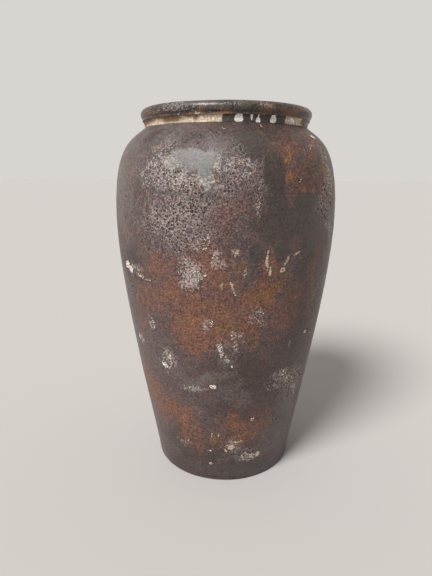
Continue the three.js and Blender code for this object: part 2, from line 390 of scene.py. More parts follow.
# What the fire and the weather left on the wall, with painted light laid over it: painted shade, painted
# glints, a painted highlight and painted reflections at the sides. Each mark is its angle round the jar in
# degrees, from the front towards the right, its height, half its width and half its height in millimetres,
# the degrees that it tilts, and how strong it is. Before its marks, each kind has its softness, how square
# they are, and how far their edges are bent.
WALL_MARKS = {
    "rust": (0.9, 2, 1.0, (
        (-14, 192, 42, 28, 0, 1.0),  # the broad band under the belly
        (-20, 166, 38, 18, 0, 0.85),
        (-34, 226, 16, 14, 0, 0.7),
        (-8, 228, 20, 12, 0, 0.65),
        (22, 203, 24, 18, 0, 0.95),
        (8, 170, 36, 16, 0, 0.85),
        (30, 182, 22, 14, 0, 0.65),
        (-46, 178, 22, 22, 0, 0.5),
        (4, 252, 16, 10, 0, 0.5),
        (-50, 232, 14, 16, 0, 0.2),
        (-36, 74, 28, 22, 0, 0.85),  # near the foot
        (-54, 92, 20, 20, 0, 0.75),
        (-14, 58, 26, 20, 0, 0.55),
        (16, 62, 24, 20, 0, 0.7),
        (22, 50, 8, 8, 0, 0.7),
        (-34, 104, 18, 10, 0, 0.4),
        (38, 304, 24, 18, 0, 0.62),  # on the shoulder
        (50, 288, 18, 26, 0, 0.75),
        (26, 316, 12, 8, 0, 0.5),
        (38, 286, 9, 8, 0, 0.8),
        (62, 160, 16, 30, 0, 0.35),
        (52, 192, 14, 44, 0, 0.45),
        (110, 230, 40, 30, 10, 0.9),  # round the back
        (150, 180, 50, 30, 0, 0.85),
        (-120, 200, 50, 40, 0, 0.85),
        (-165, 120, 40, 26, 0, 0.75),
        (95, 90, 26, 30, 0, 0.75),
        (-95, 110, 26, 24, 0, 0.7),
        (175, 290, 30, 16, 0, 0.85),
        (-90, 290, 20, 18, 0, 0.6),
    )),
    "ochre": (0.9, 2, 0.8, (
        (23, 203, 15, 12, 0, 0.9),
        (30, 213, 8, 8, 0, 0.7),
        (34, 288, 6, 5, 20, 1.0),
        (25, 313, 5, 6, 0, 0.8),
        (44, 304, 14, 12, 0, 0.45),
        (58, 288, 9, 20, 0, 0.75),
        (36, 230, 5, 3, 30, 0.7),
        (4, 233, 5, 5, 0, 0.6),
        (-12, 190, 18, 10, 0, 0.38),
        (-24, 172, 14, 8, 0, 0.4),
        (8, 166, 12, 6, 0, 0.65),
        (22, 158, 12, 5, 0, 0.5),
        (12, 50, 16, 10, 0, 0.5),
        (-34, 76, 10, 8, 0, 0.4),
        (-44, 284, 5, 8, 0, 0.4),
        (-38, 313, 5, 2, -10, 0.6),
        (115, 225, 20, 14, 0, 0.8),
        (150, 190, 16, 12, 0, 0.7),
        (-125, 205, 20, 16, 0, 0.7),
        (172, 292, 14, 10, 0, 0.7),
    )),
    "dark": (0.5, 2, 0.4, (
        (30, 254, 35, 13, 0, 1.0),  # the pool, with its two tongues
        (14, 232, 7, 9, 0, 0.95),
        (27, 232, 8, 8, 0, 0.95),
        (22.5, 286, 12, 28, 0, 0.9),
        (42, 270, 18, 10, 0, 0.85),
        (44, 238, 10, 8, 0, 0.6),
        (13, 317, 16, 13, 0, 0.85),
        # painted shade: a small dark spot where there is a hole in the glaze
        (-3, 299, 1.8, 2.6, 0, 0.9),
        (44, 62, 14, 16, 0, 0.45),
        (8, 9, 70, 10, 0, 0.6),
        (130, 270, 40, 30, 0, 1.0),
        (120, 240, 10, 12, 0, 1.0),
        (-150, 260, 40, 34, 0, 1.0),
        (-140, 222, 8, 12, 0, 0.9),
        (170, 60, 30, 24, 0, 0.9),
    )),
    "grey": (0.9, 2, 1.0, (
        # Painted reflection: the pale grey at -56 degrees and the two tall strips at -66 and 70 degrees
        # stand for the pale surroundings seen at a glancing angle on the jar's sides. The other grey
        # patches are the glaze's own.
        (-56, 286, 36, 44, 0, 0.9),
        (-48, 252, 14, 20, 0, 0.5),
        (-11, 122, 18, 10, 0, 1.0),
        (-28, 112, 26, 14, 0, 0.5),
        (4, 100, 16, 14, 0, 0.6),
        (-32, 322, 22, 10, 0, 0.7),
        (-6, 322, 18, 7, 0, 0.5),
        (44, 58, 24, 28, 0, 0.7),
        (0, 20, 60, 8, 0, 0.4),
        (-66, 180, 14, 60, 0, 0.5),
        (70, 200, 14, 60, 0, 0.5),
        (-110, 300, 50, 26, 0, 0.8),
        (120, 130, 40, 40, 0, 0.6),
        (180, 230, 30, 30, 0, 0.7),
    )),
    "pitting": (0.7, 2, 1.0, (
        (-20, 298, 32, 14, 0, 1.0),  # the boiled glaze under the shoulder
        (-20, 264, 38, 20, 0, 1.0),
        (6, 280, 18, 22, 0, 0.7),
        (-3, 300, 5, 10, 0, 1.0),
        (-14, 245, 32, 11, 0, 0.85),
        (-36, 232, 16, 12, 0, 0.5),
        (42, 300, 26, 20, 0, 0.5),
        (58, 288, 12, 24, 0, 0.95),
        (44, 104, 28, 22, 0, 0.8),
        (52, 195, 16, 28, 0, 0.6),
        (-52, 200, 18, 16, 0, 0.7),
        (-33, 131, 9, 11, 0, 0.8),
        (0, 150, 9, 14, 0, 0.7),
        (20, 30, 14, 8, 0, 0.8),
        (-10, 325, 60, 10, 0, 0.55),
        (42, 62, 16, 30, 0, 0.5),
        (0, 165, 700, 170, 0, 0.34),
        (-110, 260, 50, 30, 0, 0.85),
        (150, 300, 40, 20, 0, 0.85),
        (100, 160, 24, 30, 0, 0.65),
    )),
    "gloss_and_highlight": (0.4, 2, 0.3, (
        # A smooth grey-green patch of glaze under the shoulder. Its pale colour is partly a painted
        # highlight.
        (-14, 304, 20, 9, 0, 1.0),
        (-19, 299, 11, 6, 0, 0.9),
        (-10, 291, 6, 7, 0, 1.0),
    )),
    "bloom_and_glints": (0.8, 2, 0.4, (
        # Painted glints: the first two marks and the small one at -1.5 degrees ring the smooth grey patch
        # with white specks that stand for light caught on the pitted glaze. The rest is a pale mineral
        # bloom.
        (-28, 296, 22, 15, 0, 0.62),
        (-18, 286, 26, 8, 0, 0.68),
        (-22, 256, 34, 22, 0, 0.26),
        (1, 302, 4, 9, 0, 0.55),
        (-1.5, 305, 2.0, 4.0, -30, 0.95),
        (5, 296, 8, 8, 0, 0.3),
        (-15, 214, 11, 11, 0, 0.75),
        (-9, 240, 5, 9, -20, 0.5),
        (-3, 230, 3, 7, 0, 0.45),
        (14, 268, 2, 9, 0, 0.35),
        (-1, 149, 3.4, 8, 0, 0.55),
        (5, 160, 3.6, 5, 0, 0.42),
        (6, 146, 3, 6, 0, 0.2),
        (-34, 131, 7, 9, 0, 0.45),
        (-42, 165, 4, 7, 0, 0.5),
        (40, 111, 16, 10, -30, 0.42),
        (50, 97, 14, 12, -30, 0.42),
        (17, 180, 7, 6, 0, 0.25),
        (-6, 174, 3, 4, 0, 0.6),
        (20, 29, 11, 5, 0, 0.7),
        (6, 44, 7, 5, 25, 0.5),
        (-13, 106, 12, 4, 0, 0.5),
        (-28, 44, 8, 5, 0, 0.15),
        (-57, 144, 4, 4, 0, 0.6),
        (-52, 213, 9, 5, 0, 0.55),
        (60, 290, 8, 22, 0, 0.4),
        (48, 312, 12, 4, 0, 0.3),
        (60, 245, 6, 14, 0, 0.45),
        (130, 150, 12, 8, 0, 0.5),
        (-140, 150, 10, 12, 0, 0.5),
        (160, 240, 10, 8, 0, 0.6),
    )),
    "cream": (0.5, 2, 0.12, (
        (19, 228, 1.0, 8, 4, 1.0),  # the pale edges of the dark pool's tongues
        (20.5, 217, 1.4, 4, 0, 0.9),
        (29, 225, 1.4, 4.5, -30, 1.0),
        (27, 217, 2.6, 2.0, 15, 1.0),
        (35, 231, 5, 1.2, 35, 0.7),
        (10, 218, 1.8, 5, 0, 0.6),
        (-1, 204, 1.0, 6, -8, 0.6),
        (4, 203, 1.1, 7, 20, 0.6),
        (-45, 207.8, 6, 1.2, -12, 0.35),
        (5, 42, 4, 3, 30, 0.75),
        (10, 47, 5, 2.2, 10, 0.5),
        (4, 233, 4, 3.4, 0, 0.5),
        (35, 289, 3, 1.4, 50, 0.6),
        # a painted glint: the thin pale line along the lower edge of the smooth patch
        (-5, 288, 5, 1.0, 20, 0.7),
        (20.2, 331.8, 0.9, 1.6, 0, 0.4),
        (-1, 329, 1.6, 1.3, 0, 0.5),
    )),
    "white": (0.3, 3, 0.12, (
        (-57.5, 214, 4.6, 2.6, 25, 0.9),
        (-54, 211, 2.8, 2.6, -20, 0.9),
        (-6, 110, 2.0, 1.4, -10, 0.8),
        (57, 324, 3.2, 1.2, -10, 0.9),
    )),
    # Painted shade: the glaze is darkened low down, towards the right side away from the lamp, and on the
    # shoulder just under the collar.
    "painted_shade": (0.9, 2, 1.0, (
        (-58, 212, 16, 32, 0, 1.0),
        (-10, 36, 64, 30, 0, 0.8),
        (20, 110, 50, 40, 0, 0.8),
        (52, 190, 34, 64, 0, 1.0),
        (20, 325, 44, 16, 0, 0.9),
        (46, 300, 32, 26, 0, 1.0),
        (-10, 8, 74, 20, 0, 0.95),
        (-24, 324, 48, 11, 0, 0.95),
        (150, 120, 60, 50, 0, 0.6),
        (-110, 40, 60, 30, 0, 0.6),
    )),
}


def drift(place, seed, waves=28, shortest=9.0, longest=70.0, share=0.055):
    """A smooth random push, in millimetres along three directions, that bends the marks' edges."""
    draw = np.random.default_rng(seed)
    push = np.zeros_like(place)
    for length in np.geomspace(shortest, longest, waves):
        way = draw.normal(size=3)
        way *= math.tau / length / np.linalg.norm(way)
        reach = draw.normal(size=3) * share * length
        push += reach * np.sin(place @ way + draw.uniform(0, math.tau))[:, None]
    return push


def painted(mesh, kinds):
    """Writes the strength of every kind of mark on each point of the mesh's outside."""
    count = len(mesh.vertices)
    co = np.empty(count * 3)
    mesh.vertices.foreach_get("co", co)
    place = co.reshape(-1, 3) / MM
    inside = np.empty(count)
    mesh.attributes["inside"].data.foreach_get("value", inside)
    radius = np.hypot(place[:, 0], place[:, 1])
    for seed, (kind, (softness, squareness, bend, marks)) in enumerate(kinds.items()):
        x, y, z = (place + bend * drift(place, seed)).T
        angle = np.degrees(np.arctan2(x, -y))
        value = np.zeros(count)
        for at, height, wide, tall, tilt, strength in marks:
            across = radius * np.radians((angle - at + 180) % 360 - 180)
            up = z - height
            c, s = math.cos(math.radians(tilt)), math.sin(math.radians(tilt))
            off = np.abs((across * c + up * s) / wide) ** squareness
            off = (off + np.abs((up * c - across * s) / tall) ** squareness) ** (1 / squareness)
            share = np.clip((1 + softness - off) / (2 * softness), 0, 1)
            value = np.maximum(value, strength * share * share * (3 - 2 * share))
        attribute = mesh.attributes.new(kind, "FLOAT", "POINT")
        attribute.data.foreach_set("value", value * (1 - inside))


PIT_SPACING = 3.0
FINE_PIT_SPACING = 2.0
PIT_LEAST, PIT_MOST = 0.30, 0.60  # a pit's radius, as a share of the spacing
PIT_EDGE = 1.1  # where the wall starts to sink towards a pit, in the pit's own radius
PIT_FLOOR, DARK_FLOOR = 0.4, 0.5  # where it is as deep, and as dark with painted shade, as it gets
RIM_EDGE, RIM_CREST = 1.9, 1.2  # where its pale rim, a painted glint, starts, and where the rim is palest
PIT_RAGGEDNESS = 2.2  # how far the pits' edges are shifted, in millimetres
RAGGED_SCALE = 400.0


def pit_field(tree, position, pitting, spacing):
    """How far each place lies from the middle of its gas pit, in the pit's own radius. The pits are of
    many sizes, and wider where pitting is high."""
    wobble = texture_noise(tree, position, RAGGED_SCALE, 2.0, output="Color")
    wobble = vector_calc(tree, "SUBTRACT", wobble, (0.5, 0.5, 0.5))
    wobble = vector_calc(tree, "SCALE", wobble, PIT_RAGGEDNESS * MM)
    place = vector_calc(tree, "ADD", position, wobble)
    cells = add(tree, "ShaderNodeTexVoronoi", {"Vector": place, "Scale": 1 / (spacing * MM)})
    chance = add(tree, "ShaderNodeSeparateXYZ", {0: cells.outputs["Color"]}).outputs[0]
    radius = remap(tree, chance, 0.0, 1.0, PIT_LEAST, PIT_MOST)
    radius = calc(tree, "MULTIPLY", radius, pitting)
    radius = calc(tree, "MAXIMUM", radius, 0.01)
    return calc(tree, "DIVIDE", cells.outputs["Distance"], radius)


SWELL = 0.35  # how far the hand-built wall strays from round
SWELL_SCALE = 14.0
SCRAPING = 0.10
SCRAPE_STRETCH = (22.0, 22.0, 170.0)  # the scraping marks run round the jar
PIT_DEPTH = 0.5
SCAB_HEIGHT = 0.6
SCAB_SCALE = 300.0
GLAZE_THICKNESS = 0.25
FINGER_RIDGES = 0.35
RIDGE_SPACING = 9.0
CREASE = 50  # degrees: an edge that bends more than this is drawn sharp


def relief_tree():
    """Moves each point along its outward direction: a hand-built swell, scraping marks, gas pits, scabs
    and thick glaze outside, and finger ridges inside. Then it gives the piece its material."""
    inputs = (
        ("Geometry", "Geometry", None),
        ("Swell", "Float", SWELL),
        ("Inner Swell", "Float", SWELL),
        ("Scraping", "Float", SCRAPING),
        ("Pit Depth", "Float", PIT_DEPTH),
        ("Scab Height", "Float", SCAB_HEIGHT),
        ("Glaze Thickness", "Float", GLAZE_THICKNESS),
        ("Finger Ridges", "Float", FINGER_RIDGES),
        ("Material", "Material", None),
    )
    tree, given, ids = geometry_tree("fired_relief", inputs)
    position = add(tree, "GeometryNodeInputPosition").outputs[0]
    marks = {name: named(tree, name) for name in ("inside", "pitting", "dark", "gloss_and_highlight")}
    out = named(tree, "out", "FLOAT_VECTOR")
    pitting = calc(tree, "SUBTRACT", marks["pitting"], marks["gloss_and_highlight"], clamp=True)

    noise = texture_noise(tree, position, SWELL_SCALE, 1.0)
    # the swell only goes inwards, so that the jar keeps its overall size
    swell = calc(tree, "MULTIPLY_ADD", noise, 2.0, -1.6)
    strokes = vector_calc(tree, "MULTIPLY", position, SCRAPE_STRETCH)
    noise = texture_noise(tree, strokes, 1.0, 3.0)
    scraping = calc(tree, "MULTIPLY_ADD", noise, 2.0, -1.0)
    noise = texture_noise(tree, position, SCAB_SCALE, 1.0)
    scabs = calc(tree, "MULTIPLY_ADD", noise, 2.0, -1.0)
    scabs = calc(tree, "MULTIPLY", scabs, pitting)
    near = pit_field(tree, position, pitting, PIT_SPACING)
    pits = ease(tree, near, PIT_EDGE, PIT_FLOOR, -1.0)
    surface = calc(tree, "MULTIPLY", swell, given["Swell"])
    for part, depth in (
        (scraping, given["Scraping"]),
        (scabs, given["Scab Height"]),
        (pits, given["Pit Depth"]),
        (marks["dark"], given["Glaze Thickness"]),
    ):
        surface = calc(tree, "MULTIPLY_ADD", part, depth, surface)
    height = add(tree, "ShaderNodeSeparateXYZ", {0: position}).outputs["Z"]
    turns = calc(tree, "MULTIPLY", height, math.tau / (RIDGE_SPACING * MM))
    ridges = calc(tree, "SINE", turns)
    ridges = calc(tree, "MULTIPLY", ridges, given["Finger Ridges"])
    ridged = calc(tree, "MULTIPLY_ADD", swell, given["Inner Swell"], ridges)
    amount = blend(tree, marks["inside"], surface, ridged)
    amount = calc(tree, "MULTIPLY", amount, MM)
    offset = vector_calc(tree, "SCALE", out, amount)
    moved = add(
        tree, "GeometryNodeSetPosition", {"Geometry": given["Geometry"], "Offset": offset}
    ).outputs[0]
    smooth = add(
        tree, "GeometryNodeSetShadeSmooth", {"Geometry": moved, "Shade Smooth": True}, domain="FACE"
    )
    bend = add(tree, "GeometryNodeInputMeshEdgeAngle").outputs["Unsigned Angle"]
    bends = {0: bend, 1: math.radians(CREASE)}
    crease = add(tree, "FunctionNodeCompare", bends, operation="GREATER_THAN").outputs[0]
    creased = {"Geometry": smooth.outputs[0], "Selection": crease, "Shade Smooth": False}
    creased = add(tree, "GeometryNodeSetShadeSmooth", creased, domain="EDGE").outputs[0]
    real = add(tree, "GeometryNodeRealizeInstances", {"Geometry": creased}).outputs[0]
    dressed = add(
        tree, "GeometryNodeSetMaterial", {"Geometry": real, "Material": given["Material"]}
    ).outputs[0]
    add(tree, "NodeGroupOutput", {0: dressed})
    return tree, ids


RELIEF, RELIEF_INPUTS = relief_tree()


# The noises that mottle the skin and tear its coats, as scale, detail and roughness: clouds about 26 mm
# wide, a mottle of 6 mm and a grain of 1.6 mm, which is coarser than real clay's so that it shows.
CLOUDS = (38.0, 4.0, 0.6)
MOTTLE = (170.0, 5.0, 0.65)
GRAIN = (640.0, 3.0, 0.75)
SPECKLE = 0.62  # how much the grain lightens and darkens the colour
TINT = 0.22  # how far the colour wanders from place to place
TINT_SCALE = 420.0
CLOUD_TONE, MOTTLE_TONE, GRAIN_TONE = 0.08, 0.20, 0.28  # what each adds to the choice of colour
DARKEST_SPECK = 0.25
NOISE_LOW, NOISE_HIGH = 0.28, 0.72  # where most of a noise's values lie
TINT_GAIN = 2.6
MOTTLE_BUMP, GRAIN_BUMP = 0.05, 0.10  # in millimetres
GRAIN_ROUGHNESS = 0.06
PITTED_SPECKLE, PITTED_BUMP, PITTED_ROUGHNESS = -0.15, 0.16, -0.18  # what pitting adds to each
# Painted light in the pits: a pale rim that is a painted glint, and a near-black core that is painted
# shade.
PIT_RIM_GLINT, PIT_CORE_SHADE = "#c0aca4", "#171110"
PIT_RIM_GLINT_COVER, PIT_CORE_SHADE_COVER = 0.30, 0.95
PIT_BUMP, FINE_PIT_BUMP = 0.55, 0.35  # how deep the two sizes of pits look, in millimetres
PIT_ROUGHNESS = 0.6


def fired_skin(name, body_colours, body_roughness, coats):
    """A fired surface in layers: the body's two colours in mottles, then each coat where its mark is
    painted, its edge torn by the same mottles, then tints, a fine grain and the gas pits, whose dark
    cores are painted shade and whose pale rims are painted glints."""
    material = bpy.data.materials.new(name)
    material.use_nodes = True
    tree = material.node_tree
    tree.nodes.clear()
    place = add(tree, "ShaderNodeTexCoord").outputs["Object"]
    layers = []
    for scale, detail, roughness in (CLOUDS, MOTTLE, GRAIN):
        noise = texture_noise(tree, place, scale, detail, Roughness=roughness)
        layers.append(remap(tree, noise, NOISE_LOW, NOISE_HIGH, -1.0, 1.0, clamp=False))
    clouds, mottle, grain = layers
    tone = calc(tree, "MULTIPLY_ADD", mottle, MOTTLE_TONE, 0.5)
    tone = calc(tree, "MULTIPLY_ADD", grain, GRAIN_TONE, tone)
    tone = calc(tree, "MULTIPLY_ADD", clouds, CLOUD_TONE, tone, clamp=True)
    deep, pale = body_colours
    colour = mix(tree, tone, linear(deep), linear(pale))
    rough = body_roughness
    height = calc(tree, "MULTIPLY", mottle, MOTTLE_BUMP)
    smooth = 0.0
    for mark_name, deep, pale, ragged, edge, most, coat_rough, evenness, thick in coats:
        mark = painted_mark(tree, mark_name)
        reach = mark
        for layer, share in zip(layers, ragged):
            reach = calc(tree, "MULTIPLY_ADD", layer, share, reach)
        torn = ease(tree, reach, 0.5 - edge, 0.5 + edge, most)
        present = remap(tree, mark, 0.0, 0.25)
        cover = calc(tree, "MULTIPLY", torn, present)
        coat = mix(tree, tone, linear(deep), linear(pale))
        colour = mix(tree, cover, colour, coat)
        rough = blend(tree, cover, rough, coat_rough)
        height = calc(tree, "MULTIPLY_ADD", cover, thick, height)
        smooth = blend(tree, cover, smooth, evenness)

    tint = texture_noise(tree, place, TINT_SCALE, 2.0, output="Color")
    tint = vector_calc(tree, "MULTIPLY_ADD", tint, [TINT_GAIN] * 3, [(1 - TINT_GAIN) / 2] * 3)
    colour = mix(tree, TINT, colour, tint, blend_type="SOFT_LIGHT")
    pitting = painted_mark(tree, "pitting")
    coarse = calc(tree, "SUBTRACT", 1.0, smooth)
    strength = calc(tree, "MULTIPLY_ADD", pitting, PITTED_SPECKLE, SPECKLE)
    strength = calc(tree, "MULTIPLY", strength, coarse)
    speck = calc(tree, "MULTIPLY_ADD", grain, strength, 1.0)
    speck = calc(tree, "MAXIMUM", speck, DARKEST_SPECK)
    colour = vector_calc(tree, "SCALE", colour, speck)

    rubble = calc(tree, "MULTIPLY_ADD", pitting, PITTED_BUMP, GRAIN_BUMP)
    rubble = calc(tree, "MULTIPLY", rubble, coarse)
    height = calc(tree, "MULTIPLY_ADD", grain, rubble, height)
    rough = calc(tree, "MULTIPLY_ADD", pitting, PITTED_ROUGHNESS, rough)
    pitted = calc(tree, "SUBTRACT", pitting, painted_mark(tree, "gloss_and_highlight"), clamp=True)
    for spacing, depth in ((PIT_SPACING, PIT_BUMP), (FINE_PIT_SPACING, FINE_PIT_BUMP)):
        near = pit_field(tree, place, pitted, spacing)
        pits = ease(tree, near, PIT_EDGE, DARK_FLOOR)
        rim_glint = ease(tree, near, RIM_EDGE, RIM_CREST)
        rim_glint = calc(tree, "SUBTRACT", rim_glint, pits, clamp=True)
        lit = calc(tree, "MULTIPLY", pitted, pitted)
        rim_glint = calc(tree, "MULTIPLY", rim_glint, lit)
        rim_glint = calc(tree, "MULTIPLY", rim_glint, PIT_RIM_GLINT_COVER)
        colour = mix(tree, rim_glint, colour, linear(PIT_RIM_GLINT))
        shade = calc(tree, "MULTIPLY", pits, PIT_CORE_SHADE_COVER)
        colour = mix(tree, shade, colour, linear(PIT_CORE_SHADE))
        rough = blend(tree, pits, rough, PIT_ROUGHNESS)
        height = calc(tree, "MULTIPLY_ADD", pits, -depth, height)
    rough = calc(tree, "MULTIPLY_ADD", grain, GRAIN_ROUGHNESS, rough)
    bump = add(tree, "ShaderNodeBump", {"Height": height, "Distance": MM, "Strength": 1.0}).outputs[0]
    surface = {"Base Color": colour, "Roughness": rough, "Normal": bump, "IOR": 1.5}
    skin = add(tree, "ShaderNodeBsdfPrincipled", surface)
    add(tree, "ShaderNodeOutputMaterial", {0: skin.outputs[0]})
    return material


# Iron glaze on stoneware, fired in a wood kiln and left out of doors: a thin manganese brown skin that
# has matted and rusted in clouds, with smooth dark pools and a pale bloom in the pits. Some coats carry
# painted light too: painted shade, painted glints with the bloom, a painted highlight with the gloss, and
# painted reflections with the grey at the jar's sides. Each coat is its mark, deep and pale colour,
# raggedness by cloud, mottle and grain, edge, most cover, roughness, how smooth it lies over the grain,
# and its thickness in millimetres.
GLAZE_BROWN = ("#372928", "#6d5957")
GLAZE_ROUGHNESS = 0.42
GLAZE_COATS = (
    # painted shade: a darker brown where its marks lie
    ("painted_shade", "#291f1d", "#52413d", (0.25, 0.20, 0.10), 0.50, 1.0, 0.46, 0.0, 0.02),
    ("grey", "#453e3a", "#746a65", (0.25, 0.20, 0.05), 0.45, 0.85, 0.42, 0.3, 0.02),
    ("rust", "#462c25", "#8f604b", (0.28, 0.25, 0.16), 0.48, 0.9, 0.60, 0.0, 0.03),
    ("ochre", "#54351c", "#986a40", (0.30, 0.35, 0.30), 0.40, 0.8, 0.65, 0.0, 0.03),
    ("dark", "#37302d", "#514743", (0.16, 0.14, 0.06), 0.14, 0.95, 0.38, 0.55, 0.12),
    # smooth glaze whose pale colour is partly a painted highlight
    ("gloss_and_highlight", "#5d5a57", "#868480", (0.14, 0.24, 0.18), 0.26, 0.85, 0.66, 0.7, 0.05),
    # a pale bloom, with painted glints where its marks ring the smooth patch
    ("bloom_and_glints", "#786a66", "#c2b6b0", (0.06, 0.30, 0.70), 0.40, 0.75, 0.55, 0.0, 0.10),
    ("cream", "#a88763", "#dccab0", (0.05, 0.30, 0.45), 0.25, 0.85, 0.80, 0.0, 0.12),
    ("white", "#cdc3b9", "#f6f2ed", (0.00, 0.40, 0.40), 0.20, 1.0, 0.75, 0.5, 0.20),
)
SLIP_COAT = ("inside", "#3a2c25", "#604c40", (0.0, 0.0, 0.0), 0.20, 1.0, 0.75, 0.3, 0.0)
IRON_GLAZE = fired_skin("weathered_iron_glaze", GLAZE_BROWN, GLAZE_ROUGHNESS, GLAZE_COATS + (SLIP_COAT,))


def fired_piece(name, outline, marks, material, node, slot, **depths):
    """One fired piece: its outline is turned, painted, given its relief, and set in the frame."""
    raw = turned_mesh(name, outline)
    painted(raw, marks)
    inputs = {RELIEF_INPUTS[key.replace("_", " ").title()]: value for key, value in depths.items()}
    inputs[RELIEF_INPUTS["Material"]] = material
    obj = new_object(name, with_modifier(raw, name, RELIEF, inputs))
    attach(obj, "root")
    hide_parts(node)


# Where one course meets the next: the height of the bevelled joint outside, and inside.
flank_rise = (SHOULDER_BASE - SLAB_THICKNESS) / len(FLANK)
shoulder_rise = (NECK_BASE - SHOULDER_BASE) / len(SHOULDER)
middles = [SLAB_THICKNESS + (i + 1) * flank_rise for i in range(len(FLANK))]
middles += [SHOULDER_BASE + (i + 1) * shoulder_rise for i in range(len(SHOULDER) - 1)]
joints = [(SLAB_THICKNESS - SLAB_BEVEL, SLAB_THICKNESS)]
joints += [(middle + COURSE_BEVEL / 2, middle - COURSE_BEVEL / 2) for middle in middles]
joints += [(NECK_BASE, NECK_BASE - NECK_ROOT)]

for i, course in enumerate(FLANK + SHOULDER):
    (outer_low, inner_low), (outer_high, inner_high) = joints[i], joints[i + 1]
    outer = trace(between(OUTSIDE, outer_low, outer_high), OUTER_STEP, 1)
    inner = trace(between(INSIDE, inner_low, inner_high), INNER_STEP, -1, inside=1.0)[::-1]
    fired_piece("fired_" + course, [outer, inner, outer[:1]], WALL_MARKS, IRON_GLAZE, course, "dark_glaze")


# ------------------------------------------------------------------------------------------------------
# The base: a round slab of the same clay, scraped a little hollow underneath so that it stands on a
# ring. The wall's glaze runs down over its edge, and its underside and floor are bare.

FOOT_HOLLOW = 1.5
FOOT_RING = 15.0
FOOT_CHAMFER = 1.5
BARE_SLAB = ("inside", "#6b5442", "#a58a70", (0.0, 0.0, 0.0), 0.20, 1.0, 0.85, 0.0, 0.0)

hollow_radius = FOOT_RADIUS - FOOT_RING
hollow = [(0, FOOT_HOLLOW), (hollow_radius, FOOT_HOLLOW), (hollow_radius + FOOT_HOLLOW, 0)]
underside = trace(hollow + [(FOOT_RADIUS - FOOT_CHAMFER, 0)], 2.0, 1, inside=1.0)
side = trace(between(OUTSIDE, FOOT_CHAMFER, SLAB_THICKNESS - SLAB_BEVEL), OUTER_STEP, 1)
inner_radius = np.interp(SLAB_THICKNESS, INSIDE[:, 1], INSIDE[:, 0])
top = trace([(inner_radius, SLAB_THICKNESS), (0, SLAB_THICKNESS)], INNER_STEP, 1, inside=1.0)
# Coarse stoneware clay, rolled out, scraped with a knife edge and fired to a toasted buff where bare.
SLAB_CLAY = fired_skin("scraped_slab_clay", GLAZE_BROWN, GLAZE_ROUGHNESS, GLAZE_COATS + (BARE_SLAB,))
fired_piece(
    "fired_base_disc",
    [underside, side, top],
    WALL_MARKS,
    SLAB_CLAY,
    "base_disc",
    "slab_clay",
    finger_ridges=0.0,
    inner_swell=0.0,
)


# ------------------------------------------------------------------------------------------------------
# The collar: a short ring of buff clay between shoulder and lip. The glaze left it bare on the left and
# ran over it on the right, with a few gaps; under the lip the bare clay is brown, partly a stain and
# partly painted shade under the lip's roll.

COLLAR_BEVEL = 2.0
LIP_OVERHANG = 3.7
LIP_UNDERSIDE = -45.0  # where round the lip's roll the collar meets it, in degrees
FLARE_STEP = 0.5
FLARE_START = 0.7  # how far up the collar it turns outwards

COLLAR_MARKS = {
    "dark": (0.12, 8, 0.10, (
        (19.2, 337, 27.5, 9, 0, 1.0),
        (89, 337, 35, 9, 0, 1.0),
        (148, 337, 9, 9, 0, 1.0),
        (-174, 337, 36, 9, 0, 1.0),
        (-97, 337, 22, 9, 0, 1.0),
    )),
    "stain_and_shade": (0.7, 3, 0.10, (
        # Brown on the bare clay, thickest just under the lip: partly a stain, partly painted shade under
        # the lip's roll.
        (-68, 340.4, 24, 5.2, 0, 1.0),
        (-46, 341.0, 18, 4.0, 0, 1.0),
        (-30, 341.2, 18, 3.6, 0, 1.0),
        (-37, 338.2, 14, 3.6, 0, 0.85),
        (-35, 338.5, 1.6, 3.6, 0, 0.8),
        (-42, 338.0, 1.2, 3.4, 0, 0.8),
        (-14, 341.8, 16, 3.0, 0, 1.0),
        (-19, 338.6, 3.0, 3.6, 0, 0.8),
        (-5, 342.6, 8, 2.2, 0, 0.9),
        (22, 334.6, 2.4, 1.6, 0, 0.8),
        (54, 341.5, 12, 3.4, 0, 1.0),
        (61, 337.5, 6, 4, 0, 0.85),
        (-135, 340.4, 34, 2.4, 0, 1.0),
        (124, 340.0, 22, 3.0, 0, 1.0),
    )),
    "white": (0.25, 3, 0.14, (
        (7.4, 335.6, 4.0, 2.4, 0, 1.0),
        (7.6, 338.0, 2.6, 3.0, 0, 1.0),
        (15.4, 337.6, 0.9, 2.6, 20, 1.0),
        (20.2, 335.4, 1.8, 2.2, 0, 1.0),
        (20.0, 337.6, 0.8, 2.2, 0, 0.9),
        (29.4, 335.8, 2.6, 2.4, 0, 1.0),
        (29.0, 338.2, 1.8, 2.6, 10, 1.0),
        (45, 335.4, 5.0, 1.8, 0, 0.7),
        (52, 335.0, 2.0, 1.4, 0, 0.6),
        (96, 336.0, 1.8, 2.0, 0, 0.9),
        (-140, 335.8, 8, 2.0, 0, 0.8),
    )),
    "pitting": (0.9, 2, 1.0, ((0, 337, 700, 12, 0, 0.3),)),
}
BARE_CLAY = ("#a98960", "#f3e7d4")
CLAY_ROUGHNESS = 0.75
COLLAR_COATS = (
    # brown, partly a stain and partly painted shade under the lip
    ("stain_and_shade", "#3b271d", "#885a38", (0.06, 0.30, 0.30), 0.42, 0.95, 0.70, 0.0, 0.02),
    ("dark", "#352e2b", "#574d49", (0.02, 0.10, 0.06), 0.20, 1.0, 0.38, 0.2, 0.10),
    ("white", "#e6ddd4", "#fffdfa", (0.00, 0.15, 0.25), 0.20, 1.0, 0.75, 0.4, 0.08),
)

